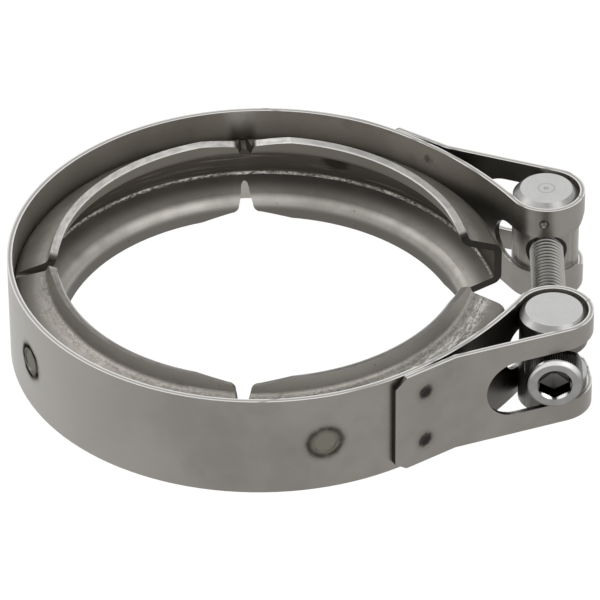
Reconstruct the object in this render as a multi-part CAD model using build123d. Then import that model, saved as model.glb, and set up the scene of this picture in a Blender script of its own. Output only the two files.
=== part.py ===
from build123d import *
from math import asin, atan2, cos, degrees, hypot, radians, sin, tan
import os

# Exhaust band clamp: a looped strap, a notched V retainer and one screw with two trunnions.
# Millimetres. The origin is the ring's centre at half its width, +Z is the ring's axis,
# +X points at the opening, and the screw lies along Y with its head at -Y.

# Ring of the strap
band_outer_radius = 58.75
band_width = 25.4
band_thickness = 1.2

# Place of the screw and of the two trunnions that it joins
screw_standoff = 8.2            # screw axis outside the band's outer face
trunnion_spacing = 47.7

# Loops of the strap, each bent round a trunnion and lapped back over the ring
leg_start_angle = 55.0          # where the inner leg leaves the ring
loop_gap = 0.05
lap_gap = 0.1                   # between the lapped tail and the ring
tail_end_angle = 59.5
tail_lift_angle = 55.5          # where the tail leaves the ring for its straight run
tail_run = 12.6                 # from there to the fold
fold_radius = 3.0
tail_corner_along = 3.0
tail_corner_across = 2.2

# Slots of the loops, wide outside for the screw's head and narrow inside for its shank
head_slot_clearance = 0.8
shank_slot_clearance = 1.2
outer_slot_length = 20.2        # along the outer leg, from the loop's tangent point
inner_slot_length = 7.3         # along the inner leg
slot_narrows_from = 15.0        # angles about the trunnion, from +X towards the other loop
slot_narrows_to = 38.0

# Marks of the welds and of the stake that keeps each trunnion in its loop
tail_weld_place = 4.0           # along the straight run
tail_weld_height = 6.75
tail_weld_diameter = 3.0
tail_dimple_diameter = 2.4
tail_dimple_depth = 0.35
ring_weld_angles = (75.6, 154.1)
ring_weld_diameter = 5.3
ring_weld_depth = 0.15
stake_angle = 95.0
stake_height = 9.0
stake_diameter = 2.0
stake_depth = 0.45

# Trunnions
trunnion_diameter = 15.8
plain_top_rise = -0.1           # over the band's upper edge
threaded_top_rise = 0.4
trunnion_bottom_recess = 0.2    # above the band's lower edge
trunnion_bottom_chamfer = 0.9
plain_top_chamfer = 1.35
threaded_top_chamfer = 1.75
shank_passage_play = 1.0        # passage open on the side away from the ring
counterbore_play = 0.8
head_seat_offset = 4.15         # counterbore floor outside the trunnion's axis
thread_clearance = 0.05
countersink_width = 0.75
centre_mark_diameter = 1.0
centre_mark_depth = 0.5

# Screw
thread_diameter = 8.0
screw_length = 60.0
screw_tip_chamfer = 1.0
neck_fillet = 0.4
head_diameter = 13.0
head_height = 8.0
head_rim_radius = 1.0
socket_across_flats = 7.0
socket_depth = 4.6
socket_mouth_diameter = 8.1
socket_floor_drop = 1.2
socket_turn = 30.0              # puts two of its flats upright

# V retainer, one bent channel welded inside the band
retainer_thickness = 1.8
web_half_height = 5.0           # to the sharp corner of web and flank
flank_depth = 7.8
flank_angle = 20.0              # from the ring's plane
lip_length = 3.75
lip_angle = 72.0                # from the ring's plane
web_corner_radius = 2.7
foot_radius = 1.5
mouth_half_angle = 12.0
notch_angles = (94.75, 179.3, 265.6)
notch_root_radius = 1.0
notch_root_height = 4.6
notch_mouth_width = 3.4         # where the lip's rounded corners begin
lip_corner_radius = 1.8
lip_end_drop = 1.3              # along the lip, beside a notch
lip_taper_length = 10.0
lip_taper_rise = 0.6            # past the lip's end, where the taper has run out

# Cutters run this far past the walls that they cut, and edges are found within the tolerance
overrun = 1.0
tolerance = 0.01

band_mid_radius = band_outer_radius - band_thickness / 2
band_inner_radius = band_outer_radius - band_thickness
tail_mid_radius = band_mid_radius + band_thickness + lap_gap
half_width = band_width / 2
screw_x = band_outer_radius + screw_standoff
trunnion_y = trunnion_spacing / 2
trunnion_radius = trunnion_diameter / 2
loop_radius = trunnion_radius + loop_gap + band_thickness / 2
head_slot_half = head_diameter / 2 + head_slot_clearance
shank_slot_half = thread_diameter / 2 + shank_slot_clearance
head_seat_y = -trunnion_y - head_seat_offset
lip_foot_radius = band_inner_radius - flank_depth
lip_foot_z = web_half_height + flank_depth * tan(radians(flank_angle))
lip_end_radius = lip_foot_radius - lip_length * cos(radians(lip_angle))
lip_end_z = lip_foot_z + lip_length * sin(radians(lip_angle))


def polar(radius, angle, centre=(0.0, 0.0)):
    """Point at a radius and an angle in degrees round a centre."""
    return (centre[0] + radius * cos(radians(angle)), centre[1] + radius * sin(radians(angle)))


def heading(start, end):
    """Direction in degrees from one point to another."""
    return degrees(atan2(end[1] - start[1], end[0] - start[0]))


def straight(start, end):
    """Straight stretch of a bent sheet's line."""
    return ("straight", start, end)


def bend(centre, radius, start_angle, turn):
    """Round stretch of a bent sheet's line, anticlockwise where turn is positive."""
    return ("bend", centre, radius, start_angle, turn)


def rounded_corner(before, corner, after, radius):
    """Bend that rounds one corner, with the two points where it begins and ends."""
    heading_in = heading(before, corner)
    heading_out = heading(corner, after)
    turn = (heading_out - heading_in + 180) % 360 - 180
    side = 1 if turn > 0 else -1
    reach = radius * tan(radians(abs(turn)) / 2)
    begin = polar(reach, heading_in + 180, corner)
    end = polar(reach, heading_out, corner)
    centre = polar(radius, heading_in + 90 * side, begin)
    return begin, bend(centre, radius, heading_in - 90 * side, turn), end


def edge_beside(stretch, shift):
    """Edge of one stretch moved to the left of its travel by shift."""
    kind, *sizes = stretch
    if kind == "bend":
        centre, radius, start_angle, turn = sizes
        inward = shift if turn > 0 else -shift
        return CenterArc(centre, radius - inward, start_angle, turn)
    start, end = sizes
    left = heading(start, end) + 90
    return Line(polar(shift, left, start), polar(shift, left, end))


def sheet_face(path, left, right):
    """Face of a sheet seen on edge, from its line to both sides."""
    left_edges = [edge_beside(stretch, left) for stretch in path]
    right_edges = [edge_beside(stretch, -right) for stretch in path]
    first_cap = Line(left_edges[0] @ 0, right_edges[0] @ 0)
    last_cap = Line(left_edges[-1] @ 1, right_edges[-1] @ 1)
    return make_face([*left_edges, last_cap, *right_edges, first_cap])


def cross_hole(point, angle, radius, depth, height=0.0):
    """Cylinder through a wall whose normal lies in the ring's plane."""
    normal = polar(1.0, angle)
    wall = Plane(origin=(point[0], point[1], height), z_dir=(normal[0], normal[1], 0))
    return wall * Cylinder(radius, depth)


def dimple(point, angle, diameter, depth, height):
    """Ball that presses a round dimple into a wall at a point of its outer face."""
    ball_radius = (diameter ** 2 / 4 + depth ** 2) / (2 * depth)
    centre = polar(ball_radius - depth, angle, point)
    return Pos(centre[0], centre[1], height) * Sphere(ball_radius)


def strap_lines():
    """Mid-line of the strap on the +Y side, and the places on it that the cuts use."""
    trunnion = (screw_x, trunnion_y)
    ring_end = polar(1.0, leg_start_angle)
    along = trunnion[0] * ring_end[0] + trunnion[1] * ring_end[1]
    rest = hypot(*trunnion) ** 2 + band_mid_radius ** 2 - 2 * along * band_mid_radius
    leg_radius = (rest - loop_radius ** 2) / (2 * (band_mid_radius + loop_radius - along))
    leg_centre = polar(band_mid_radius - leg_radius, leg_start_angle)
    leg_end_angle = heading(leg_centre, trunnion)

    lift = polar(tail_mid_radius, tail_lift_angle)
    fold = polar(tail_run, tail_lift_angle - 90, lift)
    to_trunnion = hypot(trunnion[0] - fold[0], trunnion[1] - fold[1])
    outer_heading = heading(fold, trunnion) + degrees(asin(loop_radius / to_trunnion))
    loop_end_angle = outer_heading + 90
    loop_end = polar(loop_radius, loop_end_angle, trunnion)
    fold_begin, fold_bend, fold_end = rounded_corner(loop_end, fold, lift, fold_radius)

    ring = bend((0, 0), band_mid_radius, 180, leg_start_angle - 180)
    leg = bend(leg_centre, leg_radius, leg_start_angle, leg_end_angle - leg_start_angle)
    loop_start_angle = leg_end_angle - 180
    loop = bend(trunnion, loop_radius, loop_start_angle, loop_end_angle - loop_start_angle)
    tail = bend((0, 0), tail_mid_radius, tail_lift_angle, tail_end_angle - tail_lift_angle)
    body = [ring, leg, loop, straight(loop_end, fold_begin), fold_bend, straight(fold_end, lift)]
    places = {
        "trunnion": trunnion,
        "leg_centre": leg_centre,
        "leg_radius": leg_radius,
        "leg_end_angle": leg_end_angle,
        "loop_start_angle": loop_start_angle,
        "loop_end_angle": loop_end_angle,
        "loop_end": loop_end,
        "outer_heading": outer_heading,
        "lift": lift,
    }
    return body, tail, places


def loop_windows(places):
    """Cutters of the slot that runs from the outer leg round the loop to the inner leg."""
    reach = band_thickness / 2 + overrun
    trunnion = places["trunnion"]
    start_angle = places["loop_start_angle"]
    end_angle = places["loop_end_angle"]
    shank_turn = bend(trunnion, loop_radius, start_angle, end_angle - start_angle)
    head_turn = bend(trunnion, loop_radius, -slot_narrows_from, end_angle + slot_narrows_from)
    shank_window = extrude(sheet_face([shank_turn], reach, reach), shank_slot_half, both=True)
    head_window = extrude(sheet_face([head_turn], reach, reach), head_slot_half, both=True)

    wide_y = trunnion[1] - loop_radius * sin(radians(slot_narrows_from))
    narrow_y = trunnion[1] - loop_radius * sin(radians(slot_narrows_to))
    taper_outline = [
        (wide_y + overrun, head_slot_half),
        (wide_y, head_slot_half),
        (narrow_y, shank_slot_half),
        (narrow_y, -shank_slot_half),
        (wide_y, -head_slot_half),
        (wide_y + overrun, -head_slot_half),
    ]
    taper_face = Plane.YZ.offset(trunnion[0]) * make_face(Polyline(*taper_outline, close=True))
    taper = extrude(taper_face, loop_radius + reach)

    back = places["outer_heading"] + 180
    outer_end = polar(outer_slot_length - head_slot_half, back, places["loop_end"])
    outer_line = straight(places["loop_end"], outer_end)
    outer_window = extrude(sheet_face([outer_line], reach, reach), head_slot_half, both=True)
    outer_round = cross_hole(outer_end, back + 90, head_slot_half, 2 * reach)

    leg_back = degrees((inner_slot_length - shank_slot_half) / places["leg_radius"])
    leg_angle = places["leg_end_angle"]
    inner_end = polar(places["leg_radius"], leg_angle + leg_back, places["leg_centre"])
    inner_line = bend(places["leg_centre"], places["leg_radius"], leg_angle, leg_back)
    inner_window = extrude(sheet_face([inner_line], reach, reach), shank_slot_half, both=True)
    inner_round = cross_hole(inner_end, leg_angle + leg_back, shank_slot_half, 2 * reach)
    return [shank_window, head_window, taper, outer_window, outer_round, inner_window, inner_round]


def make_tail(tail):
    """Lapped end of the strap with its two corners cut off."""
    sheet = extrude(sheet_face([tail], band_thickness / 2, band_thickness / 2), half_width, both=True)
    end = polar(tail_mid_radius, tail_end_angle)
    normal = polar(1.0, tail_end_angle)
    along = polar(1.0, tail_end_angle + 90)
    end_plane = Plane(
        origin=(end[0], end[1], 0), x_dir=(along[0], along[1], 0), z_dir=(normal[0], normal[1], 0)
    )
    slope = tail_corner_across / tail_corner_along
    corner_outline = [
        (-tail_corner_along, half_width),
        (-tail_corner_along, half_width + overrun),
        (overrun, half_width + overrun),
        (overrun, half_width - slope * (tail_corner_along + overrun)),
    ]
    corner_face = end_plane * make_face(Polyline(*corner_outline, close=True))
    corner = extrude(corner_face, band_thickness, both=True)
    return sheet - corner - mirror(corner, about=Plane.XY)


def make_strap_half():
    """The +Y half of the strap, from the back of the ring to the end of the tail."""
    body, tail, places = strap_lines()
    wall = band_thickness / 2
    half = extrude(sheet_face(body, wall, wall), half_width, both=True) + make_tail(tail)
    for window in loop_windows(places):
        half -= window

    weld_middle = polar(tail_weld_place, tail_lift_angle - 90, places["lift"])
    weld_face = polar(wall, tail_lift_angle, weld_middle)
    nugget_depth = tail_mid_radius - band_mid_radius
    nugget_middle = polar(-nugget_depth / 2, tail_lift_angle, weld_middle)
    for height in (-tail_weld_height, tail_weld_height):
        half += cross_hole(
            nugget_middle, tail_lift_angle, tail_weld_diameter / 2, nugget_depth, height
        )
        half -= dimple(
            weld_face, tail_lift_angle, tail_dimple_diameter, tail_dimple_depth, height
        )

    for angle in ring_weld_angles:
        middle = polar(band_outer_radius - ring_weld_depth + overrun / 2, angle)
        half -= cross_hole(middle, angle, ring_weld_diameter / 2, overrun)

    stake_point = polar(loop_radius + wall, -stake_angle, places["trunnion"])
    half -= dimple(stake_point, -stake_angle, stake_diameter, stake_depth, stake_height)
    return half


def make_strap():
    half = make_strap_half()
    return half + mirror(half, about=Plane.XZ)


def retainer_section():
    """Section of the V channel in the XZ plane, drawn along its outer face."""
    points = [
        (lip_end_radius, -lip_end_z),
        (lip_foot_radius, -lip_foot_z),
        (band_inner_radius, -web_half_height),
        (band_inner_radius, web_half_height),
        (lip_foot_radius, lip_foot_z),
        (lip_end_radius, lip_end_z),
    ]
    radii = [foot_radius, web_corner_radius, web_corner_radius, foot_radius]
    path = []
    start = points[0]
    for before, corner, after, radius in zip(points, points[1:], points[2:], radii):
        begin, corner_bend, end = rounded_corner(before, corner, after, radius)
        path += [straight(start, begin), corner_bend]
        start = end
    path.append(straight(start, points[-1]))
    return Plane.XZ * sheet_face(path, retainer_thickness, 0.0)


def notch_cutter(angle):
    """Cutter of one notch: straight sides that open from a round root to the lip's corners."""
    half_mouth = notch_mouth_width / 2
    lean_angle = radians(lip_angle)
    corner_drop = (lip_end_drop + lip_corner_radius) * sin(lean_angle)
    mouth_z = lip_end_z - corner_drop - retainer_thickness * cos(lean_angle)
    root_centre_z = notch_root_height + notch_root_radius
    rise = mouth_z - root_centre_z
    lean = atan2(half_mouth, rise) - asin(notch_root_radius / hypot(half_mouth, rise))
    side = (notch_root_radius * cos(lean), root_centre_z - notch_root_radius * sin(lean))
    top_z = lip_end_z + overrun
    outline = [
        ThreePointArc((-side[0], side[1]), (0, notch_root_height), side),
        Line(side, (half_mouth, mouth_z)),
        Line((half_mouth, mouth_z), (half_mouth, top_z)),
        Line((half_mouth, top_z), (-half_mouth, top_z)),
        Line((-half_mouth, top_z), (-half_mouth, mouth_z)),
        Line((-half_mouth, mouth_z), (-side[0], side[1])),
    ]
    outward = polar(1.0, angle)
    inner_reach = band_inner_radius / 2
    view = Plane(
        origin=(inner_reach * outward[0], inner_reach * outward[1], 0),
        x_dir=(-outward[1], outward[0], 0),
        z_dir=(outward[0], outward[1], 0),
    )
    return extrude(view * make_face(outline), band_inner_radius - inner_reach)


def lip_relief(angle):
    """Cutter square to the lip over a gap in it: a rounded corner and a low taper on each side."""
    half_gap = notch_mouth_width / 2
    corner = -lip_end_drop - lip_corner_radius
    far = half_gap + lip_taper_length
    top = lip_taper_rise + overrun
    right = [
        Line((far, lip_taper_rise), (half_gap + lip_corner_radius, -lip_end_drop)),
        CenterArc((half_gap + lip_corner_radius, corner), lip_corner_radius, 90, 90),
    ]
    left = [mirror(edge, about=Plane.YZ) for edge in right]
    frame = [
        Line((-half_gap, corner), (half_gap, corner)),
        Line((far, lip_taper_rise), (far, top)),
        Line((far, top), (-far, top)),
        Line((-far, top), (-far, lip_taper_rise)),
    ]
    outward = polar(1.0, angle)
    lean = radians(lip_angle)
    view = Plane(
        origin=(lip_end_radius * outward[0], lip_end_radius * outward[1], lip_end_z),
        x_dir=(-outward[1], outward[0], 0),
        z_dir=(sin(lean) * outward[0], sin(lean) * outward[1], cos(lean)),
    )
    reach = 2 * retainer_thickness + overrun
    return extrude(view * make_face([*right, *left, *frame]), reach, both=True)


def make_retainer():
    sweep = 360 - 2 * mouth_half_angle
    channel = Rot(0, 0, mouth_half_angle) * revolve(retainer_section(), Axis.Z, sweep)
    end_angle = mouth_half_angle - degrees(asin(notch_mouth_width / 2 / lip_end_radius))
    cutters = [notch_cutter(angle) for angle in notch_angles]
    cutters += [lip_relief(angle) for angle in (*notch_angles, end_angle, -end_angle)]
    for cutter in cutters:
        channel -= cutter
        channel -= mirror(cutter, about=Plane.XY)
    return channel


def trunnion_blank(y, top_rise, top_chamfer):
    """Turned pin that fills a loop, with both ends chamfered."""
    top = half_width + top_rise
    bottom = -half_width + trunnion_bottom_recess
    pin = Cylinder(trunnion_radius, top - bottom, align=(Align.CENTER, Align.CENTER, Align.MIN))
    pin = chamfer(pin.edges().group_by(Axis.Z)[-1], top_chamfer)
    pin = chamfer(pin.edges().group_by(Axis.Z)[0], trunnion_bottom_chamfer)
    return Pos(screw_x, y, bottom) * pin


def along_screw(y, facing=1):
    """Plane across the screw at y, looking along +Y, or along -Y where facing is -1."""
    return Plane(origin=(screw_x, y, 0), x_dir=(1, 0, 0), z_dir=(0, facing, 0))


def make_plain_trunnion():
    """Trunnion under the screw's head, with a counterbore and a passage that lets the shank out."""
    pin = trunnion_blank(-trunnion_y, plain_top_rise, plain_top_chamfer)
    passage_radius = (thread_diameter + shank_passage_play) / 2
    through = 2 * trunnion_diameter
    pin -= along_screw(-trunnion_y) * Cylinder(passage_radius, through)
    way_out = Box(through, through, 2 * passage_radius, align=(Align.MIN, Align.CENTER, Align.CENTER))
    pin -= Pos(screw_x, -trunnion_y, 0) * way_out
    floor_up = (Align.CENTER, Align.CENTER, Align.MIN)
    counterbore_radius = (head_diameter + counterbore_play) / 2
    counterbore = Cylinder(counterbore_radius, trunnion_radius, align=floor_up)
    return pin - along_screw(head_seat_y, -1) * counterbore


def make_threaded_trunnion():
    """Trunnion at the screw's far end, with its thread as a plain bore."""
    pin = trunnion_blank(trunnion_y, threaded_top_rise, threaded_top_chamfer)
    bore_radius = thread_diameter / 2 + thread_clearance
    pin -= along_screw(trunnion_y) * Cylinder(bore_radius, 2 * trunnion_diameter)
    mouth_up = (Align.CENTER, Align.CENTER, Align.MIN)
    countersink_height = countersink_width + overrun
    mouth_radius = bore_radius + countersink_height
    countersink = Cone(bore_radius, mouth_radius, countersink_height, align=mouth_up)
    mouth_y = trunnion_radius - countersink_width
    pin -= along_screw(trunnion_y - mouth_y, -1) * countersink
    pin -= along_screw(trunnion_y + mouth_y) * countersink
    mark_down = (Align.CENTER, Align.CENTER, Align.MAX)
    mark = Cone(0.0, centre_mark_diameter / 2, centre_mark_depth, align=mark_down)
    return pin - Pos(screw_x, trunnion_y, half_width + threaded_top_rise) * mark


def make_screw():
    """Socket-head cap screw, built along +Z from its seat and then laid along +Y."""
    head = Cylinder(head_diameter / 2, head_height, align=(Align.CENTER, Align.CENTER, Align.MAX))
    head = fillet(head.edges().group_by(Axis.Z)[0], head_rim_radius)
    shank = Cylinder(thread_diameter / 2, screw_length, align=(Align.CENTER, Align.CENTER, Align.MIN))
    shank = chamfer(shank.edges().group_by(Axis.Z)[-1], screw_tip_chamfer)
    screw = head + shank
    circles = screw.edges().filter_by(GeomType.CIRCLE)
    seat_circles = circles.filter_by_position(Axis.Z, -tolerance, tolerance)
    screw = fillet(seat_circles.sort_by(SortBy.RADIUS)[0], neck_fillet)

    flat_radius = socket_across_flats / 2
    hexagon = RegularPolygon(flat_radius, 6, major_radius=False, rotation=socket_turn)
    screw -= Pos(0, 0, -head_height) * extrude(hexagon, socket_depth)
    floor_up = (Align.CENTER, Align.CENTER, Align.MIN)
    floor_cone = Cone(flat_radius, 0.0, socket_floor_drop, align=floor_up)
    screw -= Pos(0, 0, socket_depth - head_height) * floor_cone
    mouth_radius = socket_mouth_diameter / 2
    mouth_cone = Cone(mouth_radius, flat_radius, mouth_radius - flat_radius, align=floor_up)
    screw -= Pos(0, 0, -head_height) * mouth_cone
    return along_screw(head_seat_y) * screw


pieces = {
    "band_strap": make_strap(),
    "v_retainer": make_retainer(),
    "plain_trunnion": make_plain_trunnion(),
    "threaded_trunnion": make_threaded_trunnion(),
    "clamp_screw": make_screw(),
}
os.makedirs("parts", exist_ok=True)
for name, piece in pieces.items():
    export_step(piece, f"parts/{name}.step")
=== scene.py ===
import math

import bmesh
import bpy
from mathutils import Matrix, Vector


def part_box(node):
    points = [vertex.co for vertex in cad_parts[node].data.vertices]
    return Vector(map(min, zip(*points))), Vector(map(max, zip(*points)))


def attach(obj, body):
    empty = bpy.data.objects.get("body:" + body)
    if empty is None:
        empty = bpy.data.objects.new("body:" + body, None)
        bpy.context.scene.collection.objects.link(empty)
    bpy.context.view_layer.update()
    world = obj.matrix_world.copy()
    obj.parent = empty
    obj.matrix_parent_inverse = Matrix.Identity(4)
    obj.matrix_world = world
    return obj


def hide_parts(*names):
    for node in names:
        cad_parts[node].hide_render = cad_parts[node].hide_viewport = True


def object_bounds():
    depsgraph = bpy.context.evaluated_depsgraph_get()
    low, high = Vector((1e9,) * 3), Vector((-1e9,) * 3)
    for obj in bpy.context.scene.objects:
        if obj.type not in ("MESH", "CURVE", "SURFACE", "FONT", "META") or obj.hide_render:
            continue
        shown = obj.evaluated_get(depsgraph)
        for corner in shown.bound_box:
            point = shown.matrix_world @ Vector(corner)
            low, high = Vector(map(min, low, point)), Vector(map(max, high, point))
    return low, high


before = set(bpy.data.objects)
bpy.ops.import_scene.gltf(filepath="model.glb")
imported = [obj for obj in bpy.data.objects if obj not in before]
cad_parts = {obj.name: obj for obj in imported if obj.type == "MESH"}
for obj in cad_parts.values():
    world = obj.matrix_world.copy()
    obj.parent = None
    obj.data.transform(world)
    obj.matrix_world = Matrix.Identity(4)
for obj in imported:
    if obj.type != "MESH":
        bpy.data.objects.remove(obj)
cad_low, cad_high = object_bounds()

# Lengths are written in millimetres; times this they are in metres
MM = 0.001

# The camera fitted to the photograph, in degrees, millimetres and pixels
IMAGE_PIXELS = 600
SENSOR_WIDTH = 36.0
FOCAL_PIXELS = 5519.0
CAMERA_AZIMUTH = 0.207
CAMERA_ELEVATION = 35.911
CAMERA_ROLL = -0.424
CAMERA_DISTANCE = 1284.6
AIM_RIGHT = 8.985
AIM_UP = -1.416
CLIP_START_M = 0.1
CLIP_END_M = 20.0

# The room, with lengths in metres and power in watts
WORLD_LIGHT = 0.7
FLOOR_REACH_M = 3.0
FLOOR_TONE = (0.85, 0.85, 0.85, 1)
FLOOR_GLOW = 1.05
FLOOR_GLOW_SHARE = 0.94
LAMP_SIZE_M = 0.6
KEY_PLACE_M = (-0.5, 0.2, 0.7)
KEY_POWER = 2.6
FILL_PLACE_M = (0.6, -0.5, 0.6)
FILL_POWER = 2.0


def middle_of(node):
    """Middle of a CAD node's box in millimetres."""
    low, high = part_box(node)
    return (low + high) / 2 / MM


def extent_of(node):
    """Lengths of a CAD node's box in millimetres."""
    low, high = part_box(node)
    return (high - low) / MM


BAND_OUTER_RADIUS = extent_of("band_strap").y / 2
BAND_THICKNESS = 1.2
BAND_MID_RADIUS = BAND_OUTER_RADIUS - BAND_THICKNESS / 2
TRUNNION_X = middle_of("plain_trunnion").x
TRUNNION_Y = middle_of("threaded_trunnion").y
SCREW_FACE_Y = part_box("clamp_screw")[0].y / MM
SCREW_TIP_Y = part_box("clamp_screw")[1].y / MM


class Finish:
    """One node material, with short calls for the nodes that the finishes use."""

    def __init__(self, name):
        self.material = bpy.data.materials.new(name)
        self.material.use_nodes = True
        self.nodes = self.material.node_tree.nodes
        self.links = self.material.node_tree.links
        self.shader = self.nodes["Principled BSDF"]
        coordinates = self.nodes.new("ShaderNodeTexCoord").outputs["Object"]
        self.place = self.vector("SCALE", coordinates, scale=1 / MM)
        self.x, self.y, self.z = self.parts(self.place)
        self.normal = self.nodes.new("ShaderNodeNewGeometry").outputs["True Normal"]
        self.up = self.absolute(self.parts(self.normal)[2])

    def put(self, socket, value):
        if isinstance(value, bpy.types.NodeSocket):
            self.links.new(value, socket)
        else:
            socket.default_value = value

    def vector(self, operation, first, second=None, scale=None):
        node = self.nodes.new("ShaderNodeVectorMath")
        node.operation = operation
        self.put(node.inputs[0], first)
        if second is not None:
            self.put(node.inputs[1], second)
        if scale is not None:
            self.put(node.inputs["Scale"], scale)
        return node.outputs["Value" if operation in ("DISTANCE", "LENGTH", "DOT_PRODUCT") else "Vector"]

    def maths(self, operation, first, second=0.0, third=0.0, clamp=False):
        node = self.nodes.new("ShaderNodeMath")
        node.operation = operation
        node.use_clamp = clamp
        for socket, value in zip(node.inputs, (first, second, third)):
            self.put(socket, value)
        return node.outputs[0]

    def times(self, first, *others):
        """Product of a value and any number of others."""
        for other in others:
            first = self.maths("MULTIPLY", first, other)
        return first

    def less(self, first, second):
        return self.maths("SUBTRACT", first, second)

    def most(self, first, second):
        return self.maths("MAXIMUM", first, second)

    def absolute(self, value):
        return self.maths("ABSOLUTE", value)

    def distance(self, first, second):
        return self.vector("DISTANCE", first, second)

    def wavered(self, value, noise, reach):
        """The value moved up and down by up to half the reach, as a noise says."""
        return self.maths("MULTIPLY_ADD", noise, reach, self.less(value, reach / 2))

    def parts(self, vector):
        node = self.nodes.new("ShaderNodeSeparateXYZ")
        self.put(node.inputs[0], vector)
        return node.outputs

    def joined(self, x, y, z):
        node = self.nodes.new("ShaderNodeCombineXYZ")
        for socket, value in zip(node.inputs, (x, y, z)):
            self.put(socket, value)
        return node.outputs[0]

    def noise(self, vector, scale=1.0, detail=3.0, rough=0.5):
        node = self.nodes.new("ShaderNodeTexNoise")
        self.put(node.inputs["Vector"], vector)
        self.put(node.inputs["Scale"], scale)
        self.put(node.inputs["Detail"], detail)
        self.put(node.inputs["Roughness"], rough)
        return node.outputs["Fac"]

    def stretched_noise(self, vector, scales, detail, rough):
        return self.noise(self.vector("MULTIPLY", vector, scales), detail=detail, rough=rough)

    def step(self, value, low, high, to_low=0.0, to_high=1.0):
        """Smooth rise from to_low to to_high as value goes from low to high."""
        node = self.nodes.new("ShaderNodeMapRange")
        node.interpolation_type = "SMOOTHSTEP"
        for socket, number in zip(node.inputs, (value, low, high, to_low, to_high)):
            self.put(socket, number)
        return node.outputs["Result"]

    def ridge(self, value, middle, half):
        """One at the middle, falling smoothly to zero half away from it."""
        return self.step(self.absolute(self.less(value, middle)), 0.0, half, 1.0, 0.0)

    def mixed(self, share, first, second):
        node = self.nodes.new("ShaderNodeMix")
        node.data_type = "RGBA"
        self.put(node.inputs["Factor"], share)
        self.put(node.inputs["A"], first if isinstance(first, bpy.types.NodeSocket) else (*first, 1))
        self.put(node.inputs["B"], second if isinstance(second, bpy.types.NodeSocket) else (*second, 1))
        return node.outputs["Result"]

    def painted(self, colour, tone, *shares):
        """The colour with a tone laid over it, as strong as the product of the shares."""
        return self.mixed(self.times(*shares), colour, tone)

    def tint(self, colour):
        self.put(self.shader.inputs["Specular Tint"], colour)

    def metal(self, colour, roughness):
        self.put(self.shader.inputs["Metallic"], 1.0)
        self.put(self.shader.inputs["Base Color"], colour)
        self.put(self.shader.inputs["Roughness"], roughness)
        return self.material

    def bump(self, height, distance):
        node = self.nodes.new("ShaderNodeBump")
        self.put(node.inputs["Height"], height)
        self.put(node.inputs["Distance"], distance * MM)
        self.put(self.shader.inputs["Normal"], node.outputs["Normal"])


class RingFinish(Finish):
    """A finish that also knows a point's radius, and how its surface faces the ring's axis."""

    def __init__(self, name):
        super().__init__(name)
        around = self.joined(self.x, self.y, 0.0)
        self.from_axis = self.vector("LENGTH", around)
        self.outward = self.vector("NORMALIZE", around)
        self.facing = self.vector("DOT_PRODUCT", self.normal, self.outward)


def on_ring(radius, angle, height=0.0):
    """Point at a radius and a height, at an angle in degrees."""
    return (radius * math.cos(math.radians(angle)), radius * math.sin(math.radians(angle)), height)


# Steel tones that several finishes share
ROLLED = (0.250, 0.236, 0.216)
ROLLED_DARK = (0.205, 0.192, 0.175)
# Bright sheared metal, also used as a painted highlight along corners
SHEARED_AND_HIGHLIGHT = (0.74, 0.73, 0.71)
# Brown of the web and of worn patches, also painted shade in the channel's hollow and behind the rear
# notch
CHANNEL_BROWN_AND_SHADE = (0.066, 0.056, 0.043)
# Dark of pits, also used as painted shade on the tails' cut ends and in the retainer's cuts
PIT_DARK_AND_SHADE = (0.042, 0.039, 0.035)

# Tones of the strap
# Painted reflection that lightens the band's left side
LEFT_SIDE_REFLECTION = (0.36, 0.345, 0.32)
SCALE_BROWN = (0.155, 0.145, 0.122)
# Painted light: the band's inside is given lighter tones than its outside
INNER_WALL_LIT_LIGHT = (0.45, 0.43, 0.395)
INNER_WALL_LIT_DARK = (0.36, 0.34, 0.305)
# Dark of pits, welds and a smear, also used as painted shade at the stakes and between a loop's legs
DARK_MARK_AND_SHADE = (0.045, 0.040, 0.036)
WELD_CORE = (0.022, 0.020, 0.018)
WELD_DISC_TONE = (0.148, 0.142, 0.114)
WELD_TINT = (0.12, 0.115, 0.10)
NO_TINT = (1.0, 1.0, 1.0)
SHEARED_MIDDLE = (0.36, 0.35, 0.33)

# Regions of the strap. Each pair says where a region begins and where it is full,
# as a length, or as a part of the surface's direction
LEFT_SIDE_X = (-5.0, -58.0)
INNER_FACING = (-0.2, -0.6)
INNER_RADIUS = (60.0, 58.0)
SMEAR_PLACE = on_ring(57.6, 46.8, 9.0)
# Where painted shade darkens the band's inside behind the retainer's rear notch
NOTCH_SHADE_X = -4.8
NOTCH_SHADE_AWAY = (4.0, 1.8)
NOTCH_SHADE_Y = (50.0, 54.0)
NOTCH_SHADE_FROM = (2.0, 4.0)
NOTCH_SHADE_TO = (12.4, 6.0)
RING_WELD_ANGLES = (75.6, 154.1)
RING_WELD_DISC = 2.65
RING_WELD_RIM = 3.85
TAIL_WELD_HEIGHT = 6.75
TAIL_WELD_ANGLE = 51.65
TAIL_WELD_RADIUS = 60.2
# Where a painted shade ring marks each stake's dimple
STAKE_RADIUS = 9.15
STAKE_ANGLE = math.radians(-95.0)
STAKE_HEIGHT = 9.0
STAKE_RING = 0.95
# Where painted shade darkens the wedge between a loop's legs
WEDGE_FACING = (0.2, 0.4)
WEDGE_FROM_X = (36.0, 42.0)
WEDGE_TO_X = (61.0, 57.0)
LEG_SHEET = (0.9, 0.7)
EDGE_UP = (0.6, 0.8)
EDGE_FROM_MIDDLE = (0.12, 0.42)
# Where painted shadow darkens each tail's cut end
TAIL_CUT_UP = (0.97, 0.9)
TAIL_CUT_FACING = (0.6, 0.4)

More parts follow.
